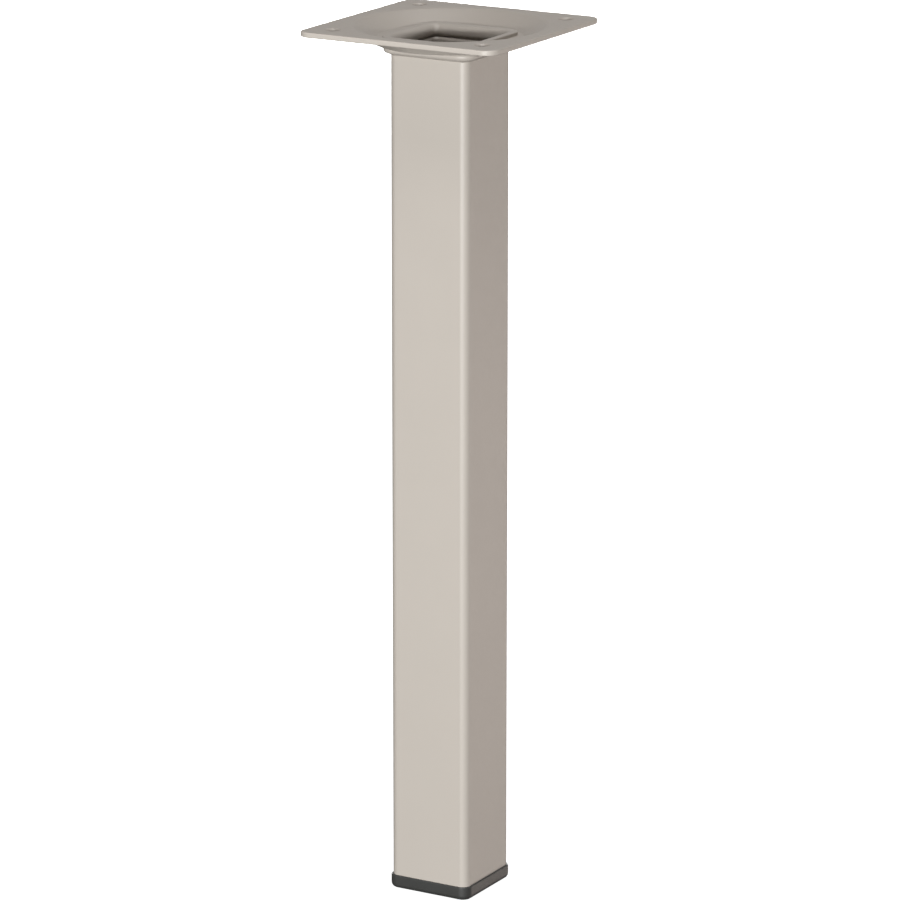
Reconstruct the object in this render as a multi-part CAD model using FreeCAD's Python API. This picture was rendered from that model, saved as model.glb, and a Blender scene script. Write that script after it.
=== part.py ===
import FreeCAD, Part
import math
import os

# Square table leg: a steel tube clamped in a dished mounting plate, standing on a plastic glide.
# Millimetres. The origin is on the floor under the middle of the leg, and +Z runs up to the plate.

# Whole leg
leg_height = 250.0  # floor to the top face of the plate

# Square tube
tube_width = 25.0
tube_wall = 1.0
tube_inside_r = 1.4  # corner radius of the bore

# Upper end of the tube, folded under the dish floor and flanged over it
fold_width = 1.15  # tube face to the centre of the fold's rounded end
fold_slope = 20.0  # rise of the fold's underside in degrees
fold_gap = 0.1  # slit between the lips of the fold
fold_slit = 0.3  # depth of the slit behind the bevelled lips
flange_seat = 1.5  # flat width of the flange on the dish floor
flange_recess = 2.55  # top of the flange below the top of the plate
neck_straight = 0.5  # upright wall between the fold and the bend of the flange

# Mounting plate
plate_thickness = 1.5
plate_land = 3.38  # flat between the dish rim and the nearest edge
plate_corner_r = 4.0
dish_wall_angle = 28.0  # slope of the dish wall in degrees
dish_bend_r = 1.5  # inside bend radius of the sheet
dish_margin = 0.65  # flat of the floor beyond the corners of the flange
neck_clearance = 0.1  # between the tube and the hole in the plate
screw_hole_d = 3.4
screw_rim = 0.6  # bevel around the upper edge of a screw hole
screw_inset = 7.5  # hole centre to both plate edges

# Floor glide
glide_sole = 2.5  # thickness under the pocket
glide_pocket = 1.5  # depth of the pocket in the collar
glide_overhang = 0.6  # collar beyond the faces of the tube
glide_foot_r = 1.4  # rounding around the sole
glide_rim_bevel = 0.25  # bevel of the collar's upper edge
plug_wall = 1.6
plug_inside_r = 0.8
plug_lead = 0.7  # chamfer that leads the plug into the bore
plug_tail = 0.5  # wall between the last fin and the chamfer
fin_reach = 0.95  # fins beyond the plug wall
fin_clearance = 0.05  # fins to the bore
fin_root = 1.2  # thickness where a fin leaves the plug
fin_tip = 0.5
fin_first = 2.0  # collar to the first fin
fin_pitch = 3.6
fin_count = 3

# Sizes that follow from those above
tube_half = tube_width / 2
tube_corner_r = tube_inside_r + tube_wall
bore_half = tube_half - tube_wall
flange_bevel = plate_thickness - neck_straight
flange_bend_r = flange_bevel + tube_wall
flange_reach = flange_bevel + flange_seat
fold_end_r = tube_wall + fold_gap / 2
fold_reach = fold_width + fold_end_r
fold_edge = fold_end_r * math.tan(math.pi / 8)

plate_bottom = leg_height - plate_thickness
dish_depth = flange_recess + tube_wall
floor_top = leg_height - dish_depth
floor_bottom = floor_top - plate_thickness
slit_top = floor_bottom - tube_wall
slit_bottom = slit_top - fold_gap
lip_bevel = tube_wall - fold_slit
fold_rise = math.radians(fold_slope)
fold_low = floor_bottom - fold_end_r * (1 + math.tan(math.pi / 4 - fold_rise / 2))
fold_foot = fold_low - fold_reach * math.tan(fold_rise)

dish_slope = math.radians(dish_wall_angle)
dish_outer_bend_r = dish_bend_r + plate_thickness
flange_diagonal = (tube_half - tube_corner_r) * math.sqrt(2) + tube_corner_r + flange_reach
dish_floor_r = flange_diagonal + dish_margin + dish_bend_r * math.tan(dish_slope / 2)
dish_rim_r = dish_floor_r + dish_depth / math.tan(dish_slope)
underside_shift = plate_thickness * math.tan(dish_slope / 2)
land_start_r = dish_rim_r + dish_outer_bend_r * math.tan(dish_slope / 2)
plate_half = land_start_r + plate_land
screw_offset = plate_half - screw_inset
hole_half = tube_half + neck_clearance
hole_corner_r = tube_corner_r + neck_clearance

glide_height = glide_sole + glide_pocket
plug_half = bore_half - fin_clearance - fin_reach
plug_corner_r = plug_inside_r + plug_wall
fins_top = glide_height + fin_first + fin_count * fin_pitch
plug_top = fins_top + plug_tail + plug_lead

CENTRE = FreeCAD.Vector(0, 0, 0)
UP = FreeCAD.Vector(0, 0, 1)


def section(corners):
    """Flat face in the XZ plane through (x, z, radius) corners."""
    points = [FreeCAD.Vector(x, 0, z) for x, z, radius in corners]
    edges = []
    tangents = []
    for i, (x, z, radius) in enumerate(corners):
        corner = points[i]
        back = (points[i - 1] - corner).normalize()
        ahead = (points[(i + 1) % len(points)] - corner).normalize()
        half_angle = back.getAngle(ahead) / 2
        setback = radius / math.tan(half_angle)
        start = corner + back * setback
        end = corner + ahead * setback
        tangents.append((start, end))
        if radius > 0:
            inwards = (back + ahead).normalize()
            middle = corner + inwards * (radius / math.sin(half_angle) - radius)
            edges.append(Part.Arc(start, middle, end).toShape())
    for i, (start, end) in enumerate(tangents):
        last = tangents[i - 1][1]
        if last.distanceToPoint(start) > 1e-6:
            edges.append(Part.makeLine(last, start))
    return Part.Face(Part.Wire(Part.sortEdges(edges)[0]))


def four_turns(solid):
    """The same solid on each of the four sides of the leg."""
    return [solid.rotated(CENTRE, UP, 90 * turn) for turn in range(4)]


def square_ring(face, half, corner_r):
    """Carry a section, drawn outwards from a square's side, round its sides and corners."""
    straight = half - corner_r
    near = face.translated(FreeCAD.Vector(half, -straight, 0))
    far = face.translated(FreeCAD.Vector(half, straight, 0))
    side = near.extrude(FreeCAD.Vector(0, 2 * straight, 0))
    bend = far.revolve(FreeCAD.Vector(straight, straight, 0), UP, 90)
    pieces = four_turns(side) + four_turns(bend)
    return pieces[0].multiFuse(pieces[1:]).removeSplitter()


def square_block(half, corner_r, bottom, top):
    """Upright square block with rounded corners."""
    block = Part.makeBox(2 * half, 2 * half, top - bottom, FreeCAD.Vector(-half, -half, bottom))
    upright = [e for e in block.Edges if e.BoundBox.ZLength > 1e-6]
    return block.makeFillet(corner_r, upright)


def level_edges(shape, level, reach):
    """Edges that lie at one height, no further out than reach."""
    found = []
    for edge in shape.Edges:
        box = edge.BoundBox
        flat = abs(box.ZMin - level) < 1e-4 and abs(box.ZMax - level) < 1e-4
        if flat and max(box.XMax, -box.XMin, box.YMax, -box.YMin) < reach + 1e-4:
            found.append(edge)
    return found


def make_tube():
    """Tube wall, folded into a bead under the plate and flanged over it."""
    wall = section([
        (0, glide_height, 0),
        (0, fold_foot, 0),
        (fold_reach, fold_low, fold_end_r),
        (fold_reach, floor_bottom - fold_end_r + fold_edge, 0),
        (fold_width + fold_edge, floor_bottom, 0),
        (0, floor_bottom, 0),
        (0, floor_top - flange_bevel, 0),
        (flange_bevel, floor_top, 0),
        (flange_reach, floor_top, 0),
        (flange_reach, floor_top + tube_wall, 0),
        (-tube_wall, floor_top + tube_wall, flange_bend_r),
        (-tube_wall, slit_top + lip_bevel, 0),
        (-fold_slit, slit_top, 0),
        (0, slit_top, 0),
        (0, slit_bottom, 0),
        (-fold_slit, slit_bottom, 0),
        (-tube_wall, slit_bottom - lip_bevel, 0),
        (-tube_wall, glide_height, 0),
    ])
    return square_ring(wall, tube_half, tube_corner_r)


def make_plate():
    """Square sheet with screw holes and a drawn dish, pierced for the tube."""
    sheet = square_block(plate_half, plate_corner_r, plate_bottom, leg_height)
    for x in (-screw_offset, screw_offset):
        for y in (-screw_offset, screw_offset):
            drill = Part.makeCylinder(screw_hole_d / 2, plate_thickness, FreeCAD.Vector(x, y, plate_bottom))
            rim_place = FreeCAD.Vector(x, y, leg_height - screw_rim)
            rim = Part.makeCone(screw_hole_d / 2, screw_hole_d / 2 + screw_rim, screw_rim, rim_place)
            sheet = sheet.cut([drill, rim])

    dish = section([
        (0, floor_bottom, 0),
        (dish_floor_r + underside_shift, floor_bottom, dish_outer_bend_r),
        (dish_rim_r + underside_shift, plate_bottom, dish_bend_r),
        (land_start_r, plate_bottom, 0),
        (land_start_r, leg_height, 0),
        (dish_rim_r, leg_height, dish_outer_bend_r),
        (dish_floor_r, floor_top, dish_bend_r),
        (0, floor_top, 0),
    ]).revolve(CENTRE, UP, 360)
    dish = dish.cut(square_block(hole_half, hole_corner_r, floor_bottom, floor_top))
    dish = dish.makeChamfer(flange_bevel, level_edges(dish, floor_top, hole_half))

    opening = Part.makeCylinder(land_start_r, plate_thickness, FreeCAD.Vector(0, 0, plate_bottom))
    return sheet.cut(opening).fuse(dish).removeSplitter()


def make_glide():
    """Collar under the tube with a hollow finned plug in the bore."""
    collar_half = tube_half + glide_overhang
    collar = square_block(collar_half, tube_corner_r + glide_overhang, 0, glide_height)
    collar = collar.makeFillet(glide_foot_r, level_edges(collar, 0, collar_half))
    collar = collar.makeChamfer(glide_rim_bevel, level_edges(collar, glide_height, collar_half))
    pocket = square_block(plug_half - plug_wall, plug_inside_r, glide_sole, glide_height)

    shell = section([
        (-plug_wall, glide_sole, 0),
        (0, glide_sole, 0),
        (0, plug_top - plug_lead, 0),
        (-plug_lead, plug_top, 0),
        (-plug_wall, plug_top, 0),
    ])
    plug = square_ring(shell, plug_half, plug_corner_r)

    fin_half = plug_half - plug_corner_r
    fins = []
    for i in range(fin_count):
        low = glide_height + fin_first + i * fin_pitch
        barb = section([
            (0, low, 0),
            (fin_reach, low, 0),
            (fin_reach, low + fin_tip, 0),
            (0, low + fin_root, 0),
        ])
        bar = barb.translated(FreeCAD.Vector(plug_half, -fin_half, 0))
        fins += four_turns(bar.extrude(FreeCAD.Vector(0, 2 * fin_half, 0)))
    return collar.cut(pocket).multiFuse([plug] + fins).removeSplitter()


os.makedirs("parts", exist_ok=True)
make_plate().exportStep("parts/mounting_plate.step")
make_tube().exportStep("parts/leg_tube.step")
make_glide().exportStep("parts/floor_glide.step")
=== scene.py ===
import math

import bmesh
import bpy
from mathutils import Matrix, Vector


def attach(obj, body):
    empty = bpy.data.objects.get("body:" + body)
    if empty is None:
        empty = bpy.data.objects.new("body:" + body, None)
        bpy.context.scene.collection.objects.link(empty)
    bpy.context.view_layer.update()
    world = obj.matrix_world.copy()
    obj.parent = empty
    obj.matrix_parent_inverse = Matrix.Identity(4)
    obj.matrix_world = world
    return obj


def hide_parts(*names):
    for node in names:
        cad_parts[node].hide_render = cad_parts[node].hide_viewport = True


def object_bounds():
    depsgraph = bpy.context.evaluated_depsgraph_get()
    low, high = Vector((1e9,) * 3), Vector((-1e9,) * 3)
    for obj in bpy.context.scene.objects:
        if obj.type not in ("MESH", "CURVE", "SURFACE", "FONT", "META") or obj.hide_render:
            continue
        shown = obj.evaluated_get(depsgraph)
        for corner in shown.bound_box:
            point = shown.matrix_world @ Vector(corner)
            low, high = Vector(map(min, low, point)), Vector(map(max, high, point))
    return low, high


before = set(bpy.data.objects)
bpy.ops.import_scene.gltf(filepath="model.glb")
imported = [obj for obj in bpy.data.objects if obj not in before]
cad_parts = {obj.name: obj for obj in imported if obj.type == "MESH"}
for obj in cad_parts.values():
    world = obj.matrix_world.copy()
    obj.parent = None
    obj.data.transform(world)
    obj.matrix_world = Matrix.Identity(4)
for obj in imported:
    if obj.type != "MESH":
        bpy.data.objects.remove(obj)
cad_low, cad_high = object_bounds()

# Square table leg: a coated steel tube clamped in a dished plate, on a black plastic glide.
# Every size is in metres. The forms have the sizes of the part's own solids, with small edges rounded.
MM = 0.001
CLOSE = 0.01 * MM  # points nearer than this are the same corner
WELD = 0.001 * MM  # points nearer than this are joined

# Whole leg
leg_height = cad_high.z  # floor to the top face of the plate

# Square tube
tube_half = 12.5 * MM
tube_wall = 1.0 * MM
tube_corner_r = 2.4 * MM

# Upper end of the tube, folded under the dish floor and flanged over it
fold_width = 1.15 * MM  # tube face to the centre of the fold's rounded end
fold_slope = math.radians(20.0)  # rise of the fold's underside
fold_gap = 0.1 * MM  # slit between the lips of the fold
fold_foot_r = 0.3 * MM  # hollow where the fold leaves the tube
flange_recess = 2.55 * MM  # top of the flange below the top of the plate
flange_reach = 2.5 * MM  # edge of the flange beyond the tube's face
flange_bevel = 1.0 * MM
flange_edge_r = 0.3 * MM

# Mounting plate
plate_thickness = 1.5 * MM
plate_slack = 0.001 * MM  # keeps the edge of the sheet inside the box of the solids
plate_corner_r = 4.0 * MM
plate_edge_r = 0.3 * MM
dish_slope = math.radians(28.0)
dish_bend_r = 1.5 * MM  # inside bend of the sheet
dish_margin = 0.65 * MM  # flat of the dish floor beyond the corners of the flange
neck_clearance = 0.1 * MM  # between the tube and the hole in the plate
screw_hole_r = 1.7 * MM
screw_rim = 0.6 * MM  # bevel around the upper edge of a screw hole
screw_inset = 7.5 * MM  # hole centre to both plate edges
flat_strip = 0.4 * MM  # strip of flat drawn beside a form, for the fill to meet

# Floor glide
glide_height = 4.0 * MM
glide_sole = 2.5 * MM  # thickness under the pocket
glide_overhang = 0.6 * MM  # collar beyond the faces of the tube
glide_foot_r = 1.4 * MM
glide_rim_r = 0.25 * MM
plug_top = 18.0 * MM
plug_lead = 0.7 * MM  # chamfer that leads the plug into the bore
plug_wall = 1.6 * MM
plug_corner_r = 2.4 * MM
fin_first = 6.0 * MM  # floor to the first fin
fin_pitch = 3.6 * MM
fin_root = 1.2 * MM
fin_tip = 0.5 * MM
fin_reach = 0.95 * MM
fin_clearance = 0.05 * MM  # fins to the bore
fin_count = 3

# Sizes that follow from those above
plate_bottom = leg_height - plate_thickness
floor_top = leg_height - flange_recess - tube_wall
floor_bottom = floor_top - plate_thickness
flange_top = floor_top + tube_wall
flange_bend_r = flange_bevel + tube_wall
fold_end_r = tube_wall + fold_gap / 2
fold_reach = fold_width + fold_end_r
fold_low = floor_bottom - fold_end_r * (1 + math.tan(math.pi / 4 - fold_slope / 2))
fold_foot = fold_low - fold_reach * math.tan(fold_slope)
slit_top = floor_bottom - tube_wall
slit_bottom = slit_top - fold_gap

plate_half = cad_high.x - plate_slack
screw_offset = plate_half - screw_inset
dish_crown_r = dish_bend_r + plate_thickness
flange_diagonal = (tube_half - tube_corner_r) * math.sqrt(2) + tube_corner_r + flange_reach
floor_end_r = flange_diagonal + dish_margin
dish_floor_r = floor_end_r + dish_bend_r * math.tan(dish_slope / 2)
dish_rim_r = dish_floor_r + (leg_height - floor_top) / math.tan(dish_slope)
land_start_r = dish_rim_r + dish_crown_r * math.tan(dish_slope / 2)
underside_shift = plate_thickness * math.tan(dish_slope / 2)
hole_half = tube_half + neck_clearance
hole_corner_r = tube_corner_r + neck_clearance

glide_half = tube_half + glide_overhang
glide_corner_r = tube_corner_r + glide_overhang
plug_half = tube_half - tube_wall - fin_clearance - fin_reach

# How finely the rounded forms are divided
CORNER_STEPS = 12
BEND_STEPS = 6
EDGE_STEPS = 3
DISH_STEPS = 120
SCREW_STEPS = 36
SMOOTH_ANGLE = math.radians(40.0)  # edges sharper than this stay sharp

# Finishes, each with its darkest and lightest tone
COAT_TONES = ((0.445, 0.403, 0.359), (0.465, 0.421, 0.375))
PLASTIC_TONES = ((0.030, 0.030, 0.028), (0.038, 0.038, 0.036))
NOISE_LOW, NOISE_HIGH = 0.3, 0.7  # most of a noise lies between these

# Studio
STUDIO_RADIUS = 2.5  # level floor
STUDIO_SPREAD = 1.6  # foot of the wall, in floor radii
STUDIO_STEPS = 96
FLOOR_DROP = 0.1 * MM  # floor below the sole, so that the two never coincide
FLOOR_GLOW = 0.95
WALL_HEIGHT = 4.0
WALL_SWEEP = 1.4  # how far the bend between floor and wall reaches
WALL_STEPS = 16
WALL_GLOW = 0.38
LIGHT_DISTANCE = 1.6
TOP_LIGHT_DISTANCE = 1.4
WHITE = (1.0, 1.0, 1.0)
COOL_WHITE = (0.97, 0.99, 1.0)
WARM_WHITE = (1.0, 0.88, 0.81)
AIR_COLOUR = (1.0, 0.95, 0.91, 1.0)
AIR_STRENGTH = 0.1

# Camera
CAMERA_AZIMUTH = 30.03  # degrees
CAMERA_ELEVATION = 14.87  # degrees
CAMERA_AIM = 128.61 * MM  # height on the leg that it looks at
CAMERA_DISTANCE = 1.4246
CAMERA_LENS = 202.28  # millimetres of focal length
CAMERA_SENSOR = 36.0  # millimetres wide


def begin(name):
    """Open a new, empty piece for editing."""
    bpy.ops.object.select_all(action="DESELECT")
    bpy.ops.mesh.primitive_plane_add(size=MM)
    piece = bpy.context.object
    piece.name = name
    piece.data.name = name
    bpy.ops.object.mode_set(mode="EDIT")
    bpy.ops.mesh.select_mode(type="VERT")
    bpy.ops.mesh.select_all(action="SELECT")
    bpy.ops.mesh.delete(type="VERT")
    return piece


def pick(piece, kind, test):
    """Select only the verts, edges or faces that pass the test."""
    bpy.ops.mesh.select_all(action="DESELECT")
    bpy.ops.mesh.select_mode(type={"verts": "VERT", "edges": "EDGE", "faces": "FACE"}[kind])
    shape = bmesh.from_edit_mesh(piece.data)
    for item in getattr(shape, kind):
        if not item.hide and test(item):
            item.select_set(True)
    shape.select_flush_mode()
    bmesh.update_edit_mesh(piece.data)


def draw_section(piece, corners, closed=False):
    """Pull one vertex through the corners of a section in the XZ plane, then round those with a radius.

    A corner is (x, z), or (x, z, radius, steps) where it is round.
    """
    bpy.ops.mesh.select_all(action="SELECT")
    bpy.ops.mesh.hide()
    bpy.ops.mesh.primitive_plane_add(size=MM)
    bpy.ops.mesh.select_mode(type="VERT")
    bpy.ops.mesh.merge(type="CENTER")
    points = [Vector((x, 0, z)) for x, z, *bend in corners]
    bpy.ops.transform.translate(value=points[0])
    for last, point in zip(points, points[1:]):
        bpy.ops.mesh.extrude_vertices_move(TRANSFORM_OT_translate={"value": point - last})
    if closed:
        ends = (points[0], points[-1])
        pick(piece, "verts", lambda v: min((v.co - end).length for end in ends) < CLOSE)
        bpy.ops.mesh.edge_face_add()
    for i, (x, z, *bend) in enumerate(corners):
        if bend:
            radius, steps = bend
            back = points[i - 1] - points[i]
            ahead = points[(i + 1) % len(points)] - points[i]
            setback = radius / math.tan(back.angle(ahead) / 2)
            pick(piece, "verts", lambda v: (v.co - points[i]).length < CLOSE)
            bpy.ops.mesh.bevel(
                offset=setback, offset_type="ABSOLUTE", segments=steps, affect="VERTICES")
    bpy.ops.mesh.select_all(action="SELECT")


def carry_round_square(half, corner_r):
    """Carry the selected section, drawn outwards from a square's side, round its sides and corners."""
    straight = half - corner_r
    bpy.ops.transform.translate(value=(half, -straight, 0))
    for turn in range(4):
        along = Vector((-math.sin(turn * math.pi / 2), math.cos(turn * math.pi / 2), 0))
        out = Vector((along.y, -along.x, 0))
        bpy.ops.mesh.extrude_edges_move(TRANSFORM_OT_translate={"value": along * 2 * straight})
        centre = (along + out) * straight
        bpy.ops.mesh.spin(steps=CORNER_STEPS, angle=-math.pi / 2, center=centre, axis=(0, 0, 1))
    weld()
    bpy.ops.mesh.reveal(select=False)


def carry_round_axis(place, steps):
    """Spin the selected section once round an upright axis."""
    bpy.ops.transform.translate(value=place)
    bpy.ops.mesh.spin(steps=steps, angle=2 * math.pi, center=place, axis=(0, 0, 1))
    weld()
    bpy.ops.mesh.reveal(select=False)


def weld():
    """Join what meets in the part of the piece that is in view."""
    bpy.ops.mesh.select_all(action="SELECT")
    bpy.ops.mesh.remove_doubles(threshold=WELD)


def fill_level(piece, level):
    """Close the flat between the open edges that lie at one height."""
    def open_and_level(edge):
        return len(edge.link_faces) == 1 and all(abs(v.co.z - level) < CLOSE for v in edge.verts)

    pick(piece, "edges", open_and_level)
    bpy.ops.mesh.fill()


def finish_piece(piece, material, node):
    """Smooth the piece, give it its finish and let it stand for its solid."""
    weld()
    bpy.ops.mesh.normals_make_consistent(inside=False)
    bpy.ops.object.mode_set(mode="OBJECT")
    bpy.ops.object.shade_smooth_by_angle(angle=SMOOTH_ANGLE)
    even = piece.modifiers.new("even_shading", "WEIGHTED_NORMAL")
    even.mode = "FACE_AREA"
    even.keep_sharp = True
    bpy.ops.object.modifier_apply(modifier=even.name)
    piece.data.materials.clear()
    piece.data.materials.append(material)
    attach(piece, "root")
    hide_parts(node)


def fold_tube(material):
    """Tube wall of one thickness, folded under the dish floor and flanged over it."""
    piece = begin("coated_tube")
    draw_section(piece, [
        (0, glide_height),
        (0, fold_foot, fold_foot_r, BEND_STEPS),
        (fold_reach, fold_low, fold_end_r, BEND_STEPS),
        (fold_reach, floor_bottom, fold_end_r, BEND_STEPS),
        (0, floor_bottom),
        (0, floor_top - flange_bevel),
        (flange_bevel, floor_top),
        (flange_reach, floor_top),
        (flange_reach, flange_top, flange_edge_r, EDGE_STEPS),
        (-tube_wall, flange_top, flange_bend_r, BEND_STEPS),
        (-tube_wall, slit_top, tube_wall, BEND_STEPS),
        (0, slit_top),
        (0, slit_bottom),
        (-tube_wall, slit_bottom, tube_wall, BEND_STEPS),
        (-tube_wall, glide_height),
    ], closed=True)
    carry_round_square(tube_half, tube_corner_r)
    finish_piece(piece, material, "leg_tube")


def press_plate(material):
    """Square sheet with a drawn dish, four screw holes and a square hole for the tube."""
    piece = begin("dished_plate")

    # Upper and lower face of the dish
    for floor_level, land_level, shift, floor_bend, rim_bend in (
        (floor_top, leg_height, 0, dish_bend_r, dish_crown_r),
        (floor_bottom, plate_bottom, underside_shift, dish_crown_r, dish_bend_r),
    ):
        draw_section(piece, [
            (floor_end_r - flat_strip, floor_level),
            (dish_floor_r + shift, floor_level, floor_bend, BEND_STEPS),
            (dish_rim_r + shift, land_level, rim_bend, BEND_STEPS),
            (land_start_r + flat_strip, land_level),
        ])
        carry_round_axis((0, 0, 0), DISH_STEPS)

    # Cut edge all round the sheet
    draw_section(piece, [
        (-2 * flat_strip, leg_height),
        (0, leg_height, plate_edge_r, EDGE_STEPS),
        (0, plate_bottom, plate_edge_r, EDGE_STEPS),
        (-2 * flat_strip, plate_bottom),
    ])
    carry_round_square(plate_half, plate_corner_r)

    # Square hole, bevelled under the flange
    draw_section(piece, [
        (flange_bevel + flat_strip, floor_top),
        (flange_bevel, floor_top),
        (0, floor_top - flange_bevel),
        (0, floor_bottom),
        (flat_strip, floor_bottom),
    ])
    carry_round_square(hole_half, hole_corner_r)

    # Screw holes
    for x in (-screw_offset, screw_offset):
        for y in (-screw_offset, screw_offset):
            draw_section(piece, [
                (screw_hole_r + screw_rim + flat_strip, leg_height),
                (screw_hole_r + screw_rim, leg_height),
                (screw_hole_r, leg_height - screw_rim),
                (screw_hole_r, plate_bottom),
                (screw_hole_r + flat_strip, plate_bottom),
            ])
            carry_round_axis((x, y, 0), SCREW_STEPS)

    for level in (leg_height, plate_bottom, floor_top, floor_bottom):
        fill_level(piece, level)
    finish_piece(piece, material, "mounting_plate")


def mould_glide(material):
    """Collar under the tube with a hollow finned plug in the bore."""
    piece = begin("moulded_glide")
    draw_section(piece, [
        (-2 * glide_foot_r, 0),
        (0, 0, glide_foot_r, BEND_STEPS),
        (0, glide_height, glide_rim_r, EDGE_STEPS),
        (-2 * glide_rim_r, glide_height),
    ])
    carry_round_square(glide_half, glide_corner_r)

    fins = [fin_first + i * fin_pitch for i in range(fin_count)]
    wall = [(0, glide_height)]
    for low in fins:
        wall += [(0, low), (0, low + fin_root)]
    wall += [
        (0, plug_top - plug_lead),
        (-plug_lead, plug_top),
        (-plug_wall, plug_top),
        (-plug_wall, glide_sole),
    ]
    draw_section(piece, wall)
    carry_round_square(plug_half, plug_corner_r)
    for level in (0, glide_sole, glide_height):
        fill_level(piece, level)

    # Barbed fins on the four flat sides of the plug
    for low in fins:
        for out in (Vector((1, 0, 0)), Vector((0, 1, 0)), Vector((-1, 0, 0)), Vector((0, -1, 0))):
            root = out * plug_half + Vector((0, 0, low + fin_root / 2))
            pick(piece, "faces", lambda f: (f.calc_center_median() - root).length < CLOSE)
            bpy.ops.mesh.extrude_region_move(TRANSFORM_OT_translate={"value": out * fin_reach})
            tip = out * (plug_half + fin_reach) + Vector((0, 0, low + fin_root))
            pick(piece, "edges", lambda e: ((e.verts[0].co + e.verts[1].co) / 2 - tip).length < CLOSE)
            bpy.ops.transform.translate(value=(0, 0, fin_tip - fin_root))
    finish_piece(piece, material, "floor_glide")


def new_material(name):
    """A material with its node tree, its main shader and Object coordinates."""
    material = bpy.data.materials.new(name)
    material.use_nodes = True
    tree = material.node_tree
    place = tree.nodes.new("ShaderNodeTexCoord")
    return material, tree, tree.nodes["Principled BSDF"], place.outputs["Object"]


def grain(tree, place, scale, detail):
    """Noise of one grain size."""
    noise = tree.nodes.new("ShaderNodeTexNoise")
    noise.inputs["Scale"].default_value = scale
    noise.inputs["Detail"].default_value = detail
    tree.links.new(place, noise.inputs["Vector"])
    return noise.outputs["Fac"]


def between(tree, factor, low, high):
    """Spread a noise between two values."""
    span = tree.nodes.new("ShaderNodeMapRange")
    span.inputs["From Min"].default_value = NOISE_LOW
    span.inputs["From Max"].default_value = NOISE_HIGH
    span.inputs["To Min"].default_value = low
    span.inputs["To Max"].default_value = high
    tree.links.new(factor, span.inputs["Value"])
    return span.outputs["Result"]


def two_tones(tree, factor, dark, light):
    """Spread a noise between two colours."""
    mix = tree.nodes.new("ShaderNodeMix")
    mix.data_type = "RGBA"
    mix.inputs["A"].default_value = (*dark, 1)
    mix.inputs["B"].default_value = (*light, 1)
    tree.links.new(factor, mix.inputs["Factor"])
    return mix.outputs["Result"]


def raise_grain(tree, shader, height, strength, depth):
    """Small relief on the surface."""
    bump = tree.nodes.new("ShaderNodeBump")
    bump.inputs["Strength"].default_value = strength
    bump.inputs["Distance"].default_value = depth
    tree.links.new(height, bump.inputs["Height"])
    tree.links.new(bump.outputs["Normal"], shader.inputs["Normal"])


def powder_coat():
    """Greige satin powder coat with a fine orange peel."""
    material, tree, shader, place = new_material("greige_powder_coat")
    peel = grain(tree, place, scale=900.0, detail=2.0)
    cloud = grain(tree, place, scale=60.0, detail=3.0)
    tree.links.new(two_tones(tree, cloud, *COAT_TONES), shader.inputs["Base Color"])
    tree.links.new(between(tree, peel, low=0.40, high=0.48), shader.inputs["Roughness"])
    raise_grain(tree, shader, peel, strength=0.15, depth=0.01 * MM)
    return material


def black_plastic():
    """Matt black moulded plastic with a fine spark-eroded grain."""
    material, tree, shader, place = new_material("black_moulded_plastic")
    spark = grain(tree, place, scale=2200.0, detail=3.0)
    cloud = grain(tree, place, scale=120.0, detail=2.0)
    tree.links.new(two_tones(tree, cloud, *PLASTIC_TONES), shader.inputs["Base Color"])
    tree.links.new(between(tree, spark, low=0.42, high=0.56), shader.inputs["Roughness"])
    raise_grain(tree, shader, spark, strength=0.25, depth=0.02 * MM)
    return material


def studio_white(piece, glow):
    """Plain white glow that gives the leg no diffuse light and casts no shadow."""
    material = bpy.data.materials.new(piece.name + "_white")
    material.use_nodes = True
    shader = material.node_tree.nodes["Principled BSDF"]
    shader.inputs["Base Color"].default_value = (0.45, 0.45, 0.45, 1)
    shader.inputs["Roughness"].default_value = 0.9
    shader.inputs["Specular IOR Level"].default_value = 0.0
    shader.inputs["Emission Color"].default_value = (1, 1, 1, 1)
    shader.inputs["Emission Strength"].default_value = glow
    piece.data.materials.append(material)
    piece.visible_diffuse = False
    piece.visible_shadow = False


def studio_circle(name, fill_type):
    """A circle at the edge of the level floor, just under the sole of the glide."""
    bpy.ops.mesh.primitive_circle_add(
        vertices=STUDIO_STEPS, radius=STUDIO_RADIUS, fill_type=fill_type, location=(0, 0, -FLOOR_DROP))
    circle = bpy.context.object
    circle.name = name
    return circle


def pale_floor():
    """White studio floor, and a wall that sweeps up all round it."""
    bpy.ops.object.select_all(action="DESELECT")
    floor = studio_circle("studio_floor", "NGON")
    studio_white(floor, FLOOR_GLOW)
    floor.visible_glossy = False

    wall = studio_circle("studio_wall", "NOTHING")
    bpy.ops.object.mode_set(mode="EDIT")
    bpy.ops.mesh.extrude_edges_move(TRANSFORM_OT_translate={"value": (0, 0, 0)})
    bpy.ops.transform.resize(value=(STUDIO_SPREAD, STUDIO_SPREAD, 1))
    bpy.ops.mesh.extrude_edges_move(TRANSFORM_OT_translate={"value": (0, 0, WALL_HEIGHT)})
    beyond_floor = STUDIO_RADIUS * (1 + STUDIO_SPREAD) / 2
    pick(wall, "edges", lambda e: all(abs(v.co.z) < CLOSE and v.co.length > beyond_floor for v in e.verts))
    bpy.ops.mesh.bevel(offset=WALL_SWEEP, segments=WALL_STEPS, affect="EDGES")
    bpy.ops.object.mode_set(mode="OBJECT")
    bpy.ops.object.shade_smooth()
    studio_white(wall, WALL_GLOW)


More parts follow.
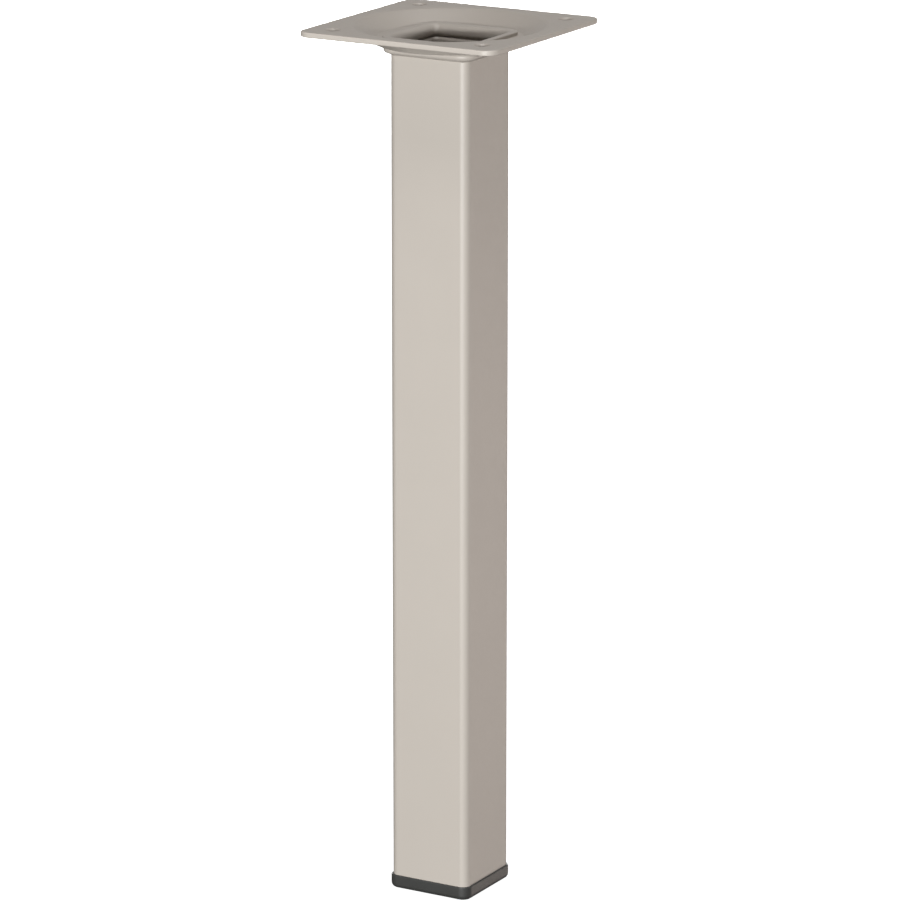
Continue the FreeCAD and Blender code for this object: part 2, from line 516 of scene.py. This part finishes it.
def stand(item, azimuth, elevation, distance, aim_height):
    """Put a light or the camera at a place round the leg and turn it towards the leg's axis.

    Azimuth and elevation are in degrees, and azimuth 0 is straight in front of the face towards -Y.
    """
    a, e = math.radians(azimuth), math.radians(elevation)
    back = Vector((math.sin(a) * math.cos(e), -math.cos(a) * math.cos(e), math.sin(e)))
    item.location = Vector((0, 0, aim_height)) + back * distance
    item.rotation_euler = (-back).to_track_quat("-Z", "Y").to_euler()


def soft_box(name, azimuth, elevation, width, height, power, colour=WHITE, distance=LIGHT_DISTANCE):
    """A soft light that looks at the middle of the leg."""
    bpy.ops.object.light_add(type="AREA")
    light = bpy.context.object
    light.name = name
    stand(light, azimuth, elevation, distance, leg_height / 2)
    light.data.shape = "RECTANGLE"
    light.data.size = width
    light.data.size_y = height
    light.data.energy = power
    light.data.color = colour
    light.visible_camera = False


def studio():
    """Faint warm air, and soft boxes in front, low on the right, overhead and behind."""
    world = bpy.data.worlds.new("studio_air")
    world.use_nodes = True
    air = world.node_tree.nodes["Background"]
    air.inputs["Color"].default_value = AIR_COLOUR
    air.inputs["Strength"].default_value = AIR_STRENGTH
    bpy.context.scene.world = world
    bpy.context.scene.view_settings.view_transform = "Standard"

    soft_box("front_box", azimuth=10.0, elevation=3.0,
             width=0.6, height=0.1, power=21.9, colour=COOL_WHITE)
    soft_box("key_strip", azimuth=35.0, elevation=10.1,
             width=0.3, height=0.04, power=9.6, colour=COOL_WHITE)
    soft_box("low_box", azimuth=150.0, elevation=-15.0,
             width=1.0, height=0.7, power=6.1, colour=WARM_WHITE)
    soft_box("top_box", azimuth=20.0, elevation=72.0,
             width=0.6, height=0.6, power=8.0, distance=TOP_LIGHT_DISTANCE)
    soft_box("rear_top_box", azimuth=180.0, elevation=70.0,
             width=0.6, height=0.6, power=2.4, distance=TOP_LIGHT_DISTANCE)
    soft_box("back_box", azimuth=210.0, elevation=0.0,
             width=1.0, height=0.15, power=16.0)


def stand_camera():
    """Long lens, at the height and turn that show two sides and the top of the plate."""
    bpy.ops.object.camera_add()
    camera = bpy.context.object
    stand(camera, CAMERA_AZIMUTH, CAMERA_ELEVATION, CAMERA_DISTANCE, CAMERA_AIM)
    camera.data.lens = CAMERA_LENS
    camera.data.sensor_width = CAMERA_SENSOR
    bpy.context.scene.camera = camera


coat = powder_coat()
fold_tube(coat)
press_plate(coat)
mould_glide(black_plastic())
pale_floor()
studio()
stand_camera()
